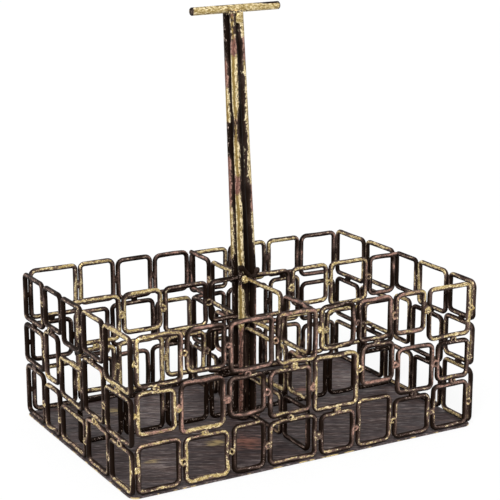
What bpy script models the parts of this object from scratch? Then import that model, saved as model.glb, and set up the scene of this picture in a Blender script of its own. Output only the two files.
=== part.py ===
"""Condiment caddy: four compartments of welded wire rings on a flat plate, with a T handle on four rods.

Metres, +Z up. X runs along the caddy's length and Y to its back. The origin is in the middle of the plate's
underside.
"""

import math
from collections import namedtuple

import bmesh
import bpy
from mathutils import Matrix, Vector

# Driving dimensions
CADDY_LENGTH = 0.244
CADDY_DEPTH = 0.163
WALL_TOP = 0.0975
HANDLE_TOP = 0.2702
PLATE_THICKNESS = 0.0012
PLATE_CORNER_RADIUS = 0.006
WIRE_DIAMETER = 0.0033
RING_CORNER_RADIUS = 0.0033
RING_GAP = 0.0012
CLOSE_RING_GAP = 0.0004
CORNER_GAP = 0.0005
BEAD_BITE = 0.0016
ROD_DIAMETER = 0.0045
BAR_DIAMETER = 0.0054
BAR_LENGTH = 0.0618
BAR_CHAMFER = 0.0006
BAR_SHIFT = 0.0018
HANDLE_LEAN = math.radians(2.6)
BAR_SLOPE = math.radians(1.2)
DIVIDER_SETBACK = 0.004
DIVIDER_LIFT = 0.002
CLEARANCE = 0.0003

# How finely round shapes are cut
RING_CORNER_POINT_COUNT = 3
PLATE_CORNER_POINT_COUNT = 6
WIRE_BEVEL_COUNT = 1
ROD_BEVEL_COUNT = 2
BAR_BEVEL_COUNT = 3
BEAD_DIVISION_COUNT = 1

# A weld fill is a little thinner than the wire whose end it carries on
FILL_SHARE = 0.8
# A ring's bend takes up at most this share of its shorter side
MOST_BEND_SHARE = 0.35
# Points of a tube and its caps that are closer than this become one
MERGE_DISTANCE = 0.000001
# Edges that turn more than this stay sharp
SHARP_ANGLE = math.radians(40)

ROW_NAMES = ("top", "middle", "bottom")

# No two rings are bent alike. For each row from the top, stray has one share for each upright joint between
# two rings, so it also sets how many rings a wall has: it is how far the joint lies beyond an even split, as
# a share of a ring's width. The rest are shares of a ring's height, for each ring along the wall: step is how
# far its lower edge lies above an even split, drop is how far the ring below falls short of it, and crown is
# how far a ring of the top row stands above the wall's top. A wall with no crown has an even top.
Pattern = namedtuple("Pattern", "stray step drop crown", defaults=((),))
FRONT_PATTERN = Pattern(
    stray=(
        (0.08, 0.04, 0.12, 0.14, 0.06, -0.02, -0.17),
        (-0.07, 0.01, -0.06, 0.00, 0.16, 0.05, 0.08),
        (0.02, 0.11, 0.20, 0.16, 0.07, 0.00, 0.00),
    ),
    step=(
        (-0.03, 0.09, -0.05, -0.07, 0.07, 0.10, 0.11, -0.13),
        (0.07, -0.04, 0.08, -0.08, -0.13, 0.21, -0.13, -0.01),
    ),
    drop=(
        (0.00, 0.07, 0.00, 0.00, 0.04, 0.00, 0.21, 0.00),
        (0.08, 0.00, 0.08, 0.00, 0.00, 0.19, 0.00, 0.00),
    ),
)
BACK_PATTERN = Pattern(
    stray=(
        (0.18, 0.10, 0.03, -0.03, -0.01, 0.04, -0.04),
        (0.04, -0.06, 0.08, 0.03, -0.05, 0.10, -0.02),
        (0.10, 0.02, -0.07, 0.05, 0.06, -0.04, 0.03),
    ),
    step=(
        (-0.05, 0.10, 0.08, 0.08, 0.00, 0.08, 0.10, -0.02),
        (0.05, -0.06, 0.07, 0.02, -0.04, 0.09, 0.00, -0.05),
    ),
    drop=(
        (0.00, 0.06, 0.00, 0.08, 0.00, 0.05, 0.00, 0.07),
        (0.06, 0.00, 0.09, 0.00, 0.00, 0.07, 0.00, 0.04),
    ),
    crown=(0.045, 0.050, 0.020, 0.005, -0.045, -0.010, -0.010, -0.010),
)
LEFT_PATTERN = Pattern(
    stray=(
        (0.03, -0.07, -0.11, -0.16),
        (-0.19, -0.25, -0.38, -0.13),
        (-0.03, -0.04, -0.02, 0.02),
    ),
    step=(
        (-0.02, 0.12, 0.01, 0.11, -0.13),
        (0.10, 0.04, -0.12, -0.06, -0.12),
    ),
    drop=(
        (0.00, 0.00, 0.22, 0.00, 0.00),
        (0.00, 0.05, 0.09, 0.00, 0.00),
    ),
)
RIGHT_PATTERN = Pattern(
    stray=(
        (0.17, 0.26, 0.10, 0.13),
        (-0.03, -0.05, -0.10, 0.03),
        (0.05, -0.06, 0.01, -0.03),
    ),
    step=(
        (-0.07, 0.05, 0.16, 0.03, 0.14),
        (-0.04, 0.05, 0.02, -0.05, 0.20),
    ),
    drop=(
        (0.00, 0.08, 0.06, 0.00, 0.00),
        (0.05, 0.00, 0.07, 0.00, 0.00),
    ),
    crown=(0.010, 0.025, 0.015, 0.020, 0.010),
)
LONG_LEFT_PATTERN = Pattern(
    stray=((0.06, 0.04, 0.14), (-0.07, 0.07, 0.08), (0.06, 0.06, 0.15)),
    step=((0.03, 0.12, 0.01, 0.08), (0.07, -0.05, 0.09, 0.02)),
    drop=((0.00, 0.06, 0.00, 0.05), (0.05, 0.00, 0.08, 0.00)),
)
LONG_RIGHT_PATTERN = Pattern(
    stray=((-0.24, -0.16, -0.16), (-0.12, -0.10, 0.04), (0.05, -0.18, 0.02)),
    step=((0.10, 0.00, 0.13, 0.00), (-0.04, 0.08, 0.02, -0.06)),
    drop=((0.05, 0.00, 0.08, 0.00), (0.00, 0.06, 0.00, 0.04)),
)
CROSS_FRONT_PATTERN = Pattern(
    stray=((-0.17,), (-0.35,), (-0.20,)),
    step=((-0.03, 0.06), (0.05, -0.03)),
    drop=((0.00, 0.07), (0.05, 0.00)),
)
CROSS_BACK_PATTERN = Pattern(
    stray=((-0.24,), (-0.10,), (0.03,)),
    step=((0.10, 0.00), (-0.04, 0.06)),
    drop=((0.06, 0.00), (0.00, 0.05)),
)

# Places worked out from the driving dimensions
WIRE_RADIUS = WIRE_DIAMETER / 2
HALF_GAP = RING_GAP / 2
# The widest beads stand proud of the wires that they join
BEAD_PROUD = max(0.0, max(RING_GAP, CLOSE_RING_GAP) / 2 + BEAD_BITE - WIRE_RADIUS)
# The walls' wires stand flush with the plate's edges
WALL_X = CADDY_LENGTH / 2 - WIRE_RADIUS
WALL_Y = CADDY_DEPTH / 2 - WIRE_RADIUS
RING_FLOOR = PLATE_THICKNESS + CLEARANCE
RING_HEIGHT = (WALL_TOP - RING_FLOOR) / len(ROW_NAMES)
DIVIDER_END_GAP = BEAD_PROUD + CLEARANCE
# The ends of the four divider halves meet round the post's axis, a clearance apart
CROSSING_GAP = (WIRE_DIAMETER + 2 * CLEARANCE) / math.sqrt(2) - WIRE_RADIUS
# Each rod stands in the corner between two divider halves
ROD_INNER_FACE = WIRE_RADIUS + CLEARANCE
ROD_OFFSET = ROD_INNER_FACE + ROD_DIAMETER / 2
# Left and right rods close up towards the bar until they are a clearance apart
ROD_TOP_OFFSET = (ROD_DIAMETER + CLEARANCE) / 2
HANDLE_PIVOT = Vector((0.0, DIVIDER_SETBACK, WALL_TOP))
HANDLE_TURN = Matrix.Rotation(-HANDLE_LEAN, 3, "Y")
# The bar leans less than the rods under it
BAR_TURN = Matrix.Rotation(-BAR_SLOPE, 3, "Y")
BAR_RISE = HANDLE_TOP - WALL_TOP - BAR_DIAMETER / 2
# The bar lies in the valley between the front and the back rods
BAR_SEAT = math.sqrt(max(0.0, (BAR_DIAMETER / 2 + CLEARANCE) ** 2 - ROD_INNER_FACE**2))

# A wall's gap is the one between its rings, side by side
Wall = namedtuple("Wall", "name start along span pattern kind gap")
RingBox = namedtuple("RingBox", "left right bottom top")


def clear_scene():
    for old in list(bpy.data.objects):
        bpy.data.objects.remove(old, do_unlink=True)


def add_collection(name):
    made = bpy.data.collections.new(name)
    bpy.context.scene.collection.children.link(made)
    return made


def add_material(name, colour, metallic, roughness):
    made = bpy.data.materials.new(name)
    made.use_nodes = True
    shader = made.node_tree.nodes["Principled BSDF"]
    shader.inputs["Base Color"].default_value = (*colour, 1.0)
    shader.inputs["Metallic"].default_value = metallic
    shader.inputs["Roughness"].default_value = roughness
    return made


def add_part(name, data, material, collection):
    """A named sub-part of the caddy from a mesh or a curve."""
    data.materials.append(material)
    made = bpy.data.objects.new(name, data)
    collection.objects.link(made)
    return made


def tube_curve(name, points, diameter, bevel, closed=False, radii=None):
    """Round wire or rod along a line of points."""
    curve = bpy.data.curves.new(name, "CURVE")
    curve.dimensions = "3D"
    curve.bevel_depth = diameter / 2
    curve.bevel_resolution = bevel
    curve.use_fill_caps = not closed
    spline = curve.splines.new("POLY")
    spline.points.add(len(points) - 1)
    spline.use_cyclic_u = closed
    for index, point in enumerate(points):
        spline.points[index].co = (*point, 1.0)
        if radii:
            spline.points[index].radius = radii[index]
    return curve


def mesh_of_curve(curve, stock):
    """A curve's tube as a closed mesh object in the stock collection."""
    guide = bpy.data.objects.new(curve.name, curve)
    stock.objects.link(guide)
    graph = bpy.context.evaluated_depsgraph_get()
    mesh = bpy.data.meshes.new_from_object(guide.evaluated_get(graph))
    bpy.data.objects.remove(guide)
    tidy = bmesh.new()
    tidy.from_mesh(mesh)
    bmesh.ops.remove_doubles(tidy, verts=tidy.verts, dist=MERGE_DISTANCE)
    tidy.to_mesh(mesh)
    tidy.free()
    made = bpy.data.objects.new(curve.name, mesh)
    stock.objects.link(made)
    return made


def add_bead(centre, radius, stock):
    ball = bmesh.new()
    bmesh.ops.create_icosphere(ball, subdivisions=BEAD_DIVISION_COUNT, radius=radius)
    bmesh.ops.translate(ball, verts=ball.verts, vec=centre)
    mesh = bpy.data.meshes.new("bead")
    ball.to_mesh(mesh)
    ball.free()
    made = bpy.data.objects.new("bead", mesh)
    stock.objects.link(made)
    return made


def add_reach_bead(surface, direction, gap, stock):
    """A bead that sits on a wire's surface and ends a clearance short of a neighbour across the gap."""
    radius = (BEAD_BITE + gap - CLEARANCE) / 2
    return add_bead(surface + direction * (radius - BEAD_BITE), radius, stock)


def weld_together(name, pieces, stock, material, collection):
    """One solid from pieces that overlap where they are welded."""
    body = pieces[0]
    stock.objects.unlink(body)
    collection.objects.link(body)
    weld = body.modifiers.new("Weld", "BOOLEAN")
    weld.operation = "UNION"
    weld.operand_type = "COLLECTION"
    weld.collection = stock
    weld.solver = "EXACT"
    graph = bpy.context.evaluated_depsgraph_get()
    mesh = bpy.data.meshes.new_from_object(body.evaluated_get(graph))
    mesh.name = name
    for piece in pieces:
        bpy.data.objects.remove(piece)
    add_part(name, mesh, material, collection)
    mesh.shade_smooth()
    mesh.set_sharp_from_angle(angle=SHARP_ANGLE)


def round_corners(left, right, bottom, top, radius, points_each):
    """The outline of a rectangle with round corners, anticlockwise from its lower right corner."""
    corners = (
        (right - radius, bottom + radius, -90),
        (right - radius, top - radius, 0),
        (left + radius, top - radius, 90),
        (left + radius, bottom + radius, 180),
    )
    outline = []
    for centre_x, centre_y, first in corners:
        for index in range(points_each):
            angle = math.radians(first + 90 * index / (points_each - 1))
            outline.append((centre_x + radius * math.cos(angle), centre_y + radius * math.sin(angle)))
    return outline


def bend_radius(box):
    shorter = min(box.right - box.left, box.top - box.bottom)
    return min(RING_CORNER_RADIUS, MOST_BEND_SHARE * shorter)


def ring_distance(one, other):
    """How far apart two rounded boxes are."""
    one_corner = bend_radius(one) + WIRE_RADIUS
    other_corner = bend_radius(other) + WIRE_RADIUS
    corners = one_corner + other_corner
    across = max(0.0, other.left - one.right + corners, one.left - other.right + corners)
    up = max(0.0, other.bottom - one.top + corners, one.bottom - other.top + corners)
    return math.hypot(across, up) - corners


def row_heights(wall, row, column):
    """The lower and the upper edge of one ring."""
    pattern = wall.pattern
    bottom = RING_FLOOR
    if wall.kind == "divider":
        bottom += DIVIDER_LIFT
    top = WALL_TOP
    if row + 1 < len(ROW_NAMES):
        even = WALL_TOP - RING_HEIGHT * (row + 1)
        bottom = even + RING_HEIGHT * pattern.step[row][column] + HALF_GAP
    if row > 0:
        above, _ = row_heights(wall, row - 1, column)
        top = above - RING_GAP - RING_HEIGHT * pattern.drop[row - 1][column]
    elif pattern.crown:
        top += RING_HEIGHT * pattern.crown[column]
    return bottom, top


def boxes_between(wall, row, joints):
    """The outer boxes of a row's rings, between its upright joints."""
    boxes = []
    for column, (left, right) in enumerate(zip(joints, joints[1:])):
        boxes.append(RingBox(left + wall.gap / 2, right - wall.gap / 2, *row_heights(wall, row, column)))
    return boxes


def wall_boxes(wall):
    """The outer box of each ring of a wall, along the wall and up, row by row from the top."""
    rows = []
    for row, stray in enumerate(wall.pattern.stray):
        columns = len(stray) + 1
        width = wall.span / columns
        inner = [width * (k + 1 + share) for k, share in enumerate(stray)]
        joints = [-wall.gap / 2, *inner, wall.span + wall.gap / 2]
        for k in range(1, columns):
            boxes = boxes_between(wall, row, joints)
            # Where a ring would lap over one of the row above, its joint carries on from that row's joint
            if row > 0:
                above = rows[-1]
                nearest = min(ring_distance(boxes[k - 1], above[k]), ring_distance(boxes[k], above[k - 1]))
                if nearest < CLEARANCE:
                    joints[k] = above[k].left - wall.gap / 2
        rows.append(boxes_between(wall, row, joints))
    return rows


def wall_point(wall, along, height):
    return wall.start + wall.along * along + Vector((0.0, 0.0, height))


def add_ring(wall, box, stock):
    outline = round_corners(
        box.left + WIRE_RADIUS,
        box.right - WIRE_RADIUS,
        box.bottom + WIRE_RADIUS,
        box.top - WIRE_RADIUS,
        bend_radius(box),
        RING_CORNER_POINT_COUNT,
    )
    points = [wall_point(wall, along, height) for along, height in outline]
    return mesh_of_curve(tube_curve("ring", points, WIRE_DIAMETER, WIRE_BEVEL_COUNT, closed=True), stock)


def add_side_beads(wall, boxes, stock):
    """Beads that join each ring of a row to the next."""
    beads = []
    radius = wall.gap / 2 + BEAD_BITE
    for near, far in zip(boxes, boxes[1:]):
        middle = (max(near.bottom, far.bottom) + min(near.top, far.top)) / 2
        beads.append(add_bead(wall_point(wall, (near.right + far.left) / 2, middle), radius, stock))
    return beads


def add_row_ties(wall, row, boxes, boxes_below, stock):
    """Beads under a row that tie it to each ring below that comes up close."""
    ties = []
    for column, (upper, lower) in enumerate(zip(boxes, boxes_below)):
        if wall.pattern.drop[row][column] == 0:
            middle = (max(upper.left, lower.left) + min(upper.right, lower.right)) / 2
            surface = wall_point(wall, middle, upper.bottom)
            ties.append(add_reach_bead(surface, Vector((0.0, 0.0, -1.0)), RING_GAP, stock))
    return ties


def add_corner_ties(wall, boxes, stock):
    """Beads that tie the two end rings of a row to the side walls."""
    ties = []
    for box, along, outward in ((boxes[0], 0.0, -wall.along), (boxes[-1], wall.span, wall.along)):
        surface = wall_point(wall, along, (box.bottom + box.top) / 2)
        ties.append(add_reach_bead(surface, outward, CORNER_GAP, stock))
    return ties


def add_end_fill(wall, box, stock):
    """Weld fill that carries a divider's top wire on to the wall's top wire."""
    height = box.top - WIRE_RADIUS
    first = wall_point(wall, CLEARANCE - DIVIDER_END_GAP, height)
    last = wall_point(wall, 2 * WIRE_RADIUS + bend_radius(box), height)
    fill = tube_curve("fill", (first, last), FILL_SHARE * WIRE_DIAMETER, WIRE_BEVEL_COUNT)
    return mesh_of_curve(fill, stock)


def add_ring_row(wall, row, rows, material, collection):
    """One row of rings of one wall, welded side by side."""
    stock = add_collection(f"{wall.name}_stock")
    boxes = rows[row]
    pieces = [add_ring(wall, box, stock) for box in boxes]
    pieces += add_side_beads(wall, boxes, stock)
    if row + 1 < len(rows):
        pieces += add_row_ties(wall, row, boxes, rows[row + 1], stock)
    if wall.kind == "long wall":
        pieces += add_corner_ties(wall, boxes, stock)
    if wall.kind == "divider" and row == 0:
        pieces.append(add_end_fill(wall, boxes[0], stock))
    weld_together(f"{wall.name}_{ROW_NAMES[row]}_rings", pieces, stock, material, collection)
    bpy.data.collections.remove(stock)


def caddy_walls():
    """The four walls and the four divider halves. A half starts at its wall and ends at the post."""
    end_x = WALL_X - WIRE_RADIUS - CORNER_GAP
    side_y = WALL_Y + WIRE_RADIUS
    divider_x = WALL_X - WIRE_RADIUS - DIVIDER_END_GAP
    divider_y = WALL_Y - WIRE_RADIUS - DIVIDER_END_GAP
    to_right = Vector((1.0, 0.0, 0.0))
    to_back = Vector((0.0, 1.0, 0.0))
    long_span = divider_x - CROSSING_GAP
    front_span = divider_y + DIVIDER_SETBACK - CROSSING_GAP
    back_span = divider_y - DIVIDER_SETBACK - CROSSING_GAP
    walls = []
    for name, y, pattern, gap in (
        ("front_wall", -WALL_Y, FRONT_PATTERN, RING_GAP),
        ("back_wall", WALL_Y, BACK_PATTERN, CLOSE_RING_GAP),
    ):
        start = Vector((-end_x, y, 0.0))
        walls.append(Wall(name, start, to_right, 2 * end_x, pattern, "long wall", gap))
    for name, x, pattern in (("left_wall", -WALL_X, LEFT_PATTERN), ("right_wall", WALL_X, RIGHT_PATTERN)):
        start = Vector((x, side_y, 0.0))
        walls.append(Wall(name, start, -to_back, 2 * side_y, pattern, "side wall", RING_GAP))
    for side, sign, pattern in (("left", -1, LONG_LEFT_PATTERN), ("right", 1, LONG_RIGHT_PATTERN)):
        start = Vector((sign * divider_x, DIVIDER_SETBACK, 0.0))
        along = -sign * to_right
        name = f"long_divider_{side}"
        walls.append(Wall(name, start, along, long_span, pattern, "divider", CLOSE_RING_GAP))
    for end, sign, span, pattern in (
        ("front", -1, front_span, CROSS_FRONT_PATTERN),
        ("back", 1, back_span, CROSS_BACK_PATTERN),
    ):
        start = Vector((0.0, sign * divider_y, 0.0))
        along = -sign * to_back
        name = f"cross_divider_{end}"
        walls.append(Wall(name, start, along, span, pattern, "divider", RING_GAP))
    return walls


def add_plate(material, collection):
    outline = round_corners(
        -CADDY_LENGTH / 2,
        CADDY_LENGTH / 2,
        -CADDY_DEPTH / 2,
        CADDY_DEPTH / 2,
        PLATE_CORNER_RADIUS,
        PLATE_CORNER_POINT_COUNT,
    )
    curve = bpy.data.curves.new("base_plate", "CURVE")
    curve.dimensions = "2D"
    curve.fill_mode = "BOTH"
    curve.extrude = PLATE_THICKNESS / 2
    spline = curve.splines.new("POLY")
    spline.points.add(len(outline) - 1)
    spline.use_cyclic_u = True
    for place, (x, y) in zip(spline.points, outline):
        place.co = (x, y, 0.0, 1.0)
    plate = add_part("base_plate", curve, material, collection)
    plate.location.z = PLATE_THICKNESS / 2


def on_handle(x, y, rise):
    """A point of the leaning handle, from its place beside and above the pivot."""
    return HANDLE_PIVOT + HANDLE_TURN @ Vector((x, y, rise))


def bar_drop(x):
    """How far the bar lies below its middle at a place across the handle, as the leaning rods see it."""
    return math.tan(HANDLE_LEAN - BAR_SLOPE) * (x - BAR_SHIFT)


def add_rods(material, collection):
    """Four rods that stand upright between the dividers and lean a little above them."""
    for side, x_sign in (("left", -1), ("right", 1)):
        for end, y_sign in (("front", -1), ("back", 1)):
            x = x_sign * ROD_OFFSET
            y = y_sign * ROD_OFFSET
            foot = Vector((x, DIVIDER_SETBACK + y, RING_FLOOR))
            tip_x = x_sign * ROD_TOP_OFFSET
            drop = max(bar_drop(tip_x - ROD_DIAMETER / 2), bar_drop(tip_x + ROD_DIAMETER / 2))
            tip = on_handle(tip_x, y, BAR_RISE - BAR_SEAT - drop)
            points = (foot, on_handle(x, y, 0.0), tip)
            name = f"handle_rod_{end}_{side}"
            add_part(name, tube_curve(name, points, ROD_DIAMETER, ROD_BEVEL_COUNT), material, collection)


def add_bar(material, collection):
    half = BAR_LENGTH / 2
    places = (-half, BAR_CHAMFER - half, half - BAR_CHAMFER, half)
    end_radius = 1 - 2 * BAR_CHAMFER / BAR_DIAMETER
    radii = (end_radius, 1.0, 1.0, end_radius)
    points = [(x, 0.0, 0.0) for x in places]
    curve = tube_curve("handle_bar", points, BAR_DIAMETER, BAR_BEVEL_COUNT, radii=radii)
    bar = add_part("handle_bar", curve, material, collection)
    bar.location = on_handle(BAR_SHIFT, 0.0, BAR_RISE)
    bar.rotation_euler = BAR_TURN.to_euler()


def main():
    clear_scene()
    caddy = add_collection("Condiment_caddy")
    wire = add_material("worn_wire", (0.105, 0.085, 0.065), metallic=0.8, roughness=0.5)
    plate = add_material("brushed_plate", (0.070, 0.060, 0.062), metallic=0.7, roughness=0.45)
    rod = add_material("worn_rod", (0.200, 0.160, 0.095), metallic=0.8, roughness=0.45)
    bar = add_material("rubbed_bar", (0.560, 0.430, 0.190), metallic=0.9, roughness=0.4)
    add_plate(plate, caddy)
    for wall in caddy_walls():
        rows = wall_boxes(wall)
        for row in range(len(rows)):
            add_ring_row(wall, row, rows, wire, caddy)
    add_rods(rod, caddy)
    add_bar(bar, caddy)


main()
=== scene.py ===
import math
import random
from collections import namedtuple

import bmesh
import bpy
from mathutils import Matrix, Vector, noise


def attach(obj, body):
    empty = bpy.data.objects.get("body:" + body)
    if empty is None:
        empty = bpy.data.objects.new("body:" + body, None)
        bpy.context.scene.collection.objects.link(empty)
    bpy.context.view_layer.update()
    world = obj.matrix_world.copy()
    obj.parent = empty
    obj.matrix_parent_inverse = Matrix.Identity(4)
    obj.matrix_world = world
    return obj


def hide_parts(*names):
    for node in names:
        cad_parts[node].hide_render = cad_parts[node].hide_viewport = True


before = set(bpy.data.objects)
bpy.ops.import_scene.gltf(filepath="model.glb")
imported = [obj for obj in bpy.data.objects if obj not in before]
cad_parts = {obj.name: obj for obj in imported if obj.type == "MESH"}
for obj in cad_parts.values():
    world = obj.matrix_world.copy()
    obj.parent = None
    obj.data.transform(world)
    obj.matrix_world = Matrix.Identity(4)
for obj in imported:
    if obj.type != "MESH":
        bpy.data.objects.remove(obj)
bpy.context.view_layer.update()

# Sizes in metres, the same as in the part's source
CADDY_LENGTH = 0.244
CADDY_DEPTH = 0.163
WALL_TOP = 0.0975
HANDLE_TOP = 0.2702
PLATE_THICKNESS = 0.0012
PLATE_CORNER_RADIUS = 0.006
WIRE_DIAMETER = 0.0033
RING_CORNER_RADIUS = 0.0033
RING_GAP = 0.0012
CLOSE_RING_GAP = 0.0004
CORNER_GAP = 0.0005
BEAD_BITE = 0.0016
ROD_DIAMETER = 0.0045
BAR_DIAMETER = 0.0054
BAR_LENGTH = 0.0618
BAR_CHAMFER = 0.0006
BAR_SHIFT = 0.0018
HANDLE_LEAN = math.radians(2.6)
BAR_SLOPE = math.radians(1.2)
DIVIDER_SETBACK = 0.004
DIVIDER_LIFT = 0.002
CLEARANCE = 0.0003
MOST_BEND_SHARE = 0.35
ROW_NAMES = ("top", "middle", "bottom")

# The camera stands to the left of the front and looks down a little
CAMERA_PLACE = Vector((-0.4606, -0.8179, 0.3557))
CAMERA_TURN = math.radians(29.50)
CAMERA_PITCH = math.radians(14.40)
SENSOR_WIDTH = 36.0
LENS = 109.5

# How finely round shapes are cut
WIRE_SIDES = 16
ROD_SIDES = 18
BEND_POINTS = 6
SIDE_POINTS = 9
ROD_POINTS = 90
BAR_POINTS = 40
BEAD_SIDES = 14
LUMP_ROWS = 12
LUMP_SIDES = 18
PLATE_CORNER_POINTS = 10

# How uneven the hand work is
SEED = 11
BEND_SPREAD = 0.22
SIDE_BOW = 0.00022
RING_DEPTH = 0.00035
RING_TWIST = 0.4
RING_TILT = math.radians(0.5)
WIRE_LUMP = 0.05
WIRE_LUMP_SCALE = 260.0
ROD_LUMP = 0.025
SHARP_ANGLE = math.radians(40)

# For each row from the top, stray has one share for each upright joint between two rings: how far it lies
# beyond an even split, as a share of a ring's width. The rest are shares of a ring's height, for each ring
# along the wall: step is how far its lower edge lies above an even split, drop is how far the ring below
# falls short of it, and crown is how far a ring of the top row stands above the wall's top.
Pattern = namedtuple("Pattern", "stray step drop crown", defaults=((),))
PATTERNS = {}
PATTERNS["front_wall"] = Pattern(
    stray=(
        (0.08, 0.04, 0.12, 0.14, 0.06, -0.02, -0.17),
        (-0.07, 0.01, -0.06, 0.00, 0.16, 0.05, 0.08),
        (0.02, 0.11, 0.20, 0.16, 0.07, 0.00, 0.00),
    ),
    step=(
        (-0.03, 0.09, -0.05, -0.07, 0.07, 0.10, 0.11, -0.13),
        (0.07, -0.04, 0.08, -0.08, -0.13, 0.21, -0.13, -0.01),
    ),
    drop=(
        (0.00, 0.07, 0.00, 0.00, 0.04, 0.00, 0.21, 0.00),
        (0.08, 0.00, 0.08, 0.00, 0.00, 0.19, 0.00, 0.00),
    ),
)
PATTERNS["back_wall"] = Pattern(
    stray=(
        (0.18, 0.10, 0.03, -0.03, -0.01, 0.04, -0.04),
        (0.04, -0.06, 0.08, 0.03, -0.05, 0.10, -0.02),
        (0.10, 0.02, -0.07, 0.05, 0.06, -0.04, 0.03),
    ),
    step=(
        (-0.05, 0.10, 0.08, 0.08, 0.00, 0.08, 0.10, -0.02),
        (0.05, -0.06, 0.07, 0.02, -0.04, 0.09, 0.00, -0.05),
    ),
    drop=(
        (0.00, 0.06, 0.00, 0.08, 0.00, 0.05, 0.00, 0.07),
        (0.06, 0.00, 0.09, 0.00, 0.00, 0.07, 0.00, 0.04),
    ),
    crown=(0.045, 0.050, 0.020, 0.005, -0.045, -0.010, -0.010, -0.010),
)
PATTERNS["left_wall"] = Pattern(
    stray=((0.03, -0.07, -0.11, -0.16), (-0.19, -0.25, -0.38, -0.13), (-0.03, -0.04, -0.02, 0.02)),
    step=((-0.02, 0.12, 0.01, 0.11, -0.13), (0.10, 0.04, -0.12, -0.06, -0.12)),
    drop=((0.00, 0.00, 0.22, 0.00, 0.00), (0.00, 0.05, 0.09, 0.00, 0.00)),
)
PATTERNS["right_wall"] = Pattern(
    stray=((0.17, 0.26, 0.10, 0.13), (-0.03, -0.05, -0.10, 0.03), (0.05, -0.06, 0.01, -0.03)),
    step=((-0.07, 0.05, 0.16, 0.03, 0.14), (-0.04, 0.05, 0.02, -0.05, 0.20)),
    drop=((0.00, 0.08, 0.06, 0.00, 0.00), (0.05, 0.00, 0.07, 0.00, 0.00)),
    crown=(0.010, 0.025, 0.015, 0.020, 0.010),
)
PATTERNS["long_divider_left"] = Pattern(
    stray=((0.06, 0.04, 0.14), (-0.07, 0.07, 0.08), (0.06, 0.06, 0.15)),
    step=((0.03, 0.12, 0.01, 0.08), (0.07, -0.05, 0.09, 0.02)),
    drop=((0.00, 0.06, 0.00, 0.05), (0.05, 0.00, 0.08, 0.00)),
)
PATTERNS["long_divider_right"] = Pattern(
    stray=((-0.24, -0.16, -0.16), (-0.12, -0.10, 0.04), (0.05, -0.18, 0.02)),
    step=((0.10, 0.00, 0.13, 0.00), (-0.04, 0.08, 0.02, -0.06)),
    drop=((0.05, 0.00, 0.08, 0.00), (0.00, 0.06, 0.00, 0.04)),
)
PATTERNS["cross_divider_front"] = Pattern(
    stray=((-0.17,), (-0.35,), (-0.20,)),
    step=((-0.03, 0.06), (0.05, -0.03)),
    drop=((0.00, 0.07), (0.05, 0.00)),
)
PATTERNS["cross_divider_back"] = Pattern(
    stray=((-0.24,), (-0.10,), (0.03,)),
    step=((0.10, 0.00), (-0.04, 0.06)),
    drop=((0.06, 0.00), (0.00, 0.05)),
)

# A finish is how much gold was rubbed on, and how far it turns to copper
Finish = namedtuple("Finish", "gold copper")
GILDED = Finish(0.98, 0.05)
GOLD = Finish(0.74, 0.12)
WARM = Finish(0.62, 0.52)
COPPER = Finish(0.64, 0.95)
SPOTTED = Finish(0.44, 0.25)
RUST = Finish(0.46, 0.92)
DARK = Finish(0.12, 0.30)
BLACK = Finish(-0.60, 0.30)
EMBER = Finish(0.20, 0.95)
BARE = Finish(-0.90, 0.30)
FINISHES = {"G": GILDED, "g": GOLD, "w": WARM, "c": COPPER, "s": SPOTTED, "r": RUST, "d": DARK, "k": BLACK}

# The finish of each ring, row by row from the top and along the wall: that of its top, its far side along the
# wall, its bottom and its near side
RING_FINISHES = {}
RING_FINISHES["front_wall"] = (
    "gwsG rrss rcrc wwgs drsg crsd wgws GGgs",
    "ggwG cwGc drrr srsr ggsg drcw rrdc dssr",
    "wssg sgGg sdds ssss srsd sssg dsds rsds",
)
RING_FINISHES["back_wall"] = (
    "ggsd grgg drdr rrdr gsds gsgs grrg drrr",
    "dddd ssds dddd ggss rrrr ddsd ssss dddd",
    "ssds dddd rrdr dddd sdds dddd wwsw dddd",
)
RING_FINISHES["left_wall"] = (
    "dsds ddds dsdd gsds Gsgd",
    "dsdd ssgg gsss sssd ssss",
    "dsds gsss ssss wsss sgsd",
)
RING_FINISHES["right_wall"] = (
    "ggss gdss dsdd gssg sgdd",
    "dsds ssgs gssg dsds sgss",
    "ssds dddd wsws dsdd gsgs",
)
RING_FINISHES["long_divider_left"] = (
    "gggg Gggg dsgs dddd",
    "gGgG gGgG sgsG dsdd",
    "kkkk kskk kkkk kdkk",
)
RING_FINISHES["long_divider_right"] = (
    "rdrr gggw gggg ssss",
    "ssss gsgs ggsg wsws",
    "kkkk kkkk kkkk kdkk",
)
RING_FINISHES["cross_divider_front"] = ("rsgs gggg", "wggs gsGg", "dddd ssds")
RING_FINISHES["cross_divider_back"] = ("rrrr gsss", "dddd wsws", "ssds dddd")

# The finish of each rod from its foot up, in bands: the height where a band ends, and its finish
ROD_BANDS = {
    "front_left": (
        (0.066, EMBER),
        (0.094, GILDED),
        (0.104, BARE),
        (0.155, GILDED),
        (0.165, RUST),
        (0.189, GOLD),
        (0.207, DARK),
        (0.241, GILDED),
        (0.249, COPPER),
        (HANDLE_TOP, DARK),
    ),
    "front_right": (
        (0.100, EMBER),
        (0.111, BARE),
        (0.119, SPOTTED),
        (0.141, GOLD),
        (0.160, RUST),
        (0.183, GILDED),
        (0.238, GOLD),
        (0.252, RUST),
        (HANDLE_TOP, GILDED),
    ),
    "back_left": (
        (0.111, BARE),
        (0.145, GOLD),
        (0.178, RUST),
        (0.198, BARE),
        (0.220, GOLD),
        (0.240, RUST),
        (HANDLE_TOP, BARE),
    ),
    "back_right": (
        (0.100, DARK),
        (0.150, SPOTTED),
        (0.190, GOLD),
        (0.210, RUST),
        (0.245, GOLD),
        (HANDLE_TOP, SPOTTED),
    ),
}
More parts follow.
